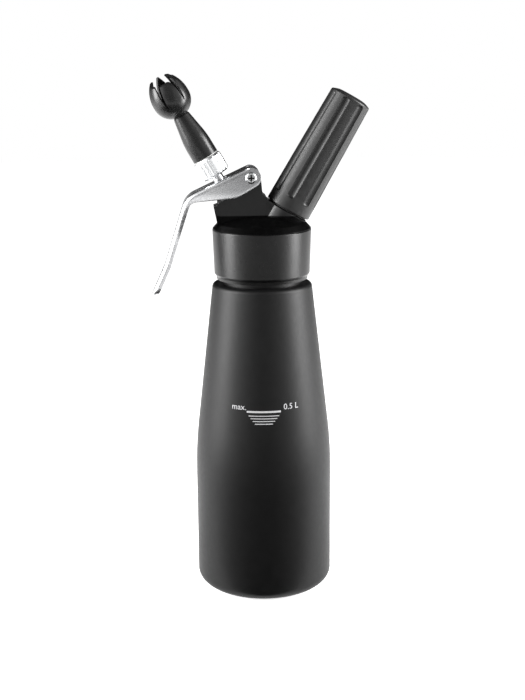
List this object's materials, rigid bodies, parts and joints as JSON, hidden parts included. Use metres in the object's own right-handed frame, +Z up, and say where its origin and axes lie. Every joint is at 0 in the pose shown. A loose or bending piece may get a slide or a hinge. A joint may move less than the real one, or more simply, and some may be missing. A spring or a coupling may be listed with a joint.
{
  "type": "whipped cream dispenser",
  "caption": "Bottle with a screw-on head carrying a squeeze lever, a spring-closed dispensing valve with a tulip nozzle, and an angled fluted gas charger holder.",
  "frame": {"origin": "centre of the bottle's flat base, on the surface it stands on", "axes": "+Z up along the bottle, +X towards the charger holder, -X towards the nozzle and the lever"},
  "size_m": [0.1239, 0.0794, 0.2975],
  "materials": {
    "bottle_black": "matte black powder coat, fine grain",
    "collar_black": "satin black, smooth",
    "head_black": "matte black moulded",
    "holder_black": "matte black moulded, fluted",
    "nozzle_black": "satin gloss black moulded",
    "lever_steel": "fine brushed",
    "polished_steel": "polished",
    "steel": "turned",
    "spring_steel": "drawn wire",
    "charger_steel": "drawn steel, plain",
    "brass": "turned",
    "silicone": "matte silicone",
    "rubber_black": "matte rubber"
  },
  "bodies": {
    "bottle": {"bottle": "bottle_black"},
    "gasket_ring": {"head_gasket": "silicone"},
    "head": {"head_body": "head_black", "head_collar": "collar_black", "guide_bush": "brass", "pivot_bush": "brass", "pivot_screw": "polished_steel", "pivot_nut": "polished_steel", "port_insert": "steel", "piercing_pin": "steel", "piercing_gasket": "rubber_black", "port_seal": "rubber_black", "check_valve": "rubber_black"},
    "lever": {"lever": "lever_steel"},
    "valve": {"valve_stem": "steel", "thrust_collar": "steel", "stem_seal": "rubber_black", "valve_gasket": "rubber_black", "valve_nut": "steel", "nozzle_adapter": "polished_steel", "return_spring": "spring_steel"},
    "nozzle_seat": {"nozzle_washer": "steel"},
    "nozzle": {"decorator_nozzle": "nozzle_black"},
    "charger": {"charger": "charger_steel"},
    "holder": {"charger_holder": "holder_black", "holder_sleeve": "steel", "holder_pad": "rubber_black"}
  },
  "joints": [
    {"name": "head_rise", "type": "slide", "parent": "bottle", "child": "gasket_ring", "axis": [0, 0, 1], "range_m": [0, 0.012]},
    {"name": "head_turn", "type": "hinge", "parent": "gasket_ring", "child": "head", "pos_m": [0, 0, 0.2024], "axis": [0, 0, 1], "range_deg": [0, 1080]},
    {"name": "lever_squeeze", "type": "hinge", "parent": "head", "child": "lever", "pos_m": [-0.00625, 0, 0.2408], "axis": [0, -1, 0], "range_deg": [0, 9], "stiffness_Nm_per_rad": 1, "springref_deg": -14.32},
    {"name": "valve_travel", "type": "slide", "parent": "head", "child": "valve", "axis": [0.5, 0, -0.866], "range_m": [0, 0.0026], "deforming": ["return_spring"]},
    {"name": "nozzle_rise", "type": "slide", "parent": "valve", "child": "nozzle_seat", "axis": [-0.5, 0, 0.866], "range_m": [0, 0.006]},
    {"name": "nozzle_turn", "type": "hinge", "parent": "nozzle_seat", "child": "nozzle", "pos_m": [-0.0311, 0, 0.25185], "axis": [-0.5, 0, 0.866], "range_deg": [0, 1440]},
    {"name": "charger_rise", "type": "slide", "parent": "head", "child": "charger", "axis": [0.5, 0, 0.866], "range_m": [0, 0.008]},
    {"name": "holder_turn", "type": "hinge", "parent": "charger", "child": "holder", "pos_m": [0.0149, 0, 0.2224], "axis": [0.5, 0, 0.866], "range_deg": [0, 1440]}
  ],
  "couplings": [
    {"joint": "head_rise", "follows": "head_turn", "m_per_rad": 0.00063662},
    {"joint": "valve_travel", "follows": "lever_squeeze", "m_per_rad": 0.016},
    {"joint": "nozzle_rise", "follows": "nozzle_turn", "m_per_rad": 0.00023873},
    {"joint": "charger_rise", "follows": "holder_turn", "m_per_rad": 0.00031831}
  ]
}
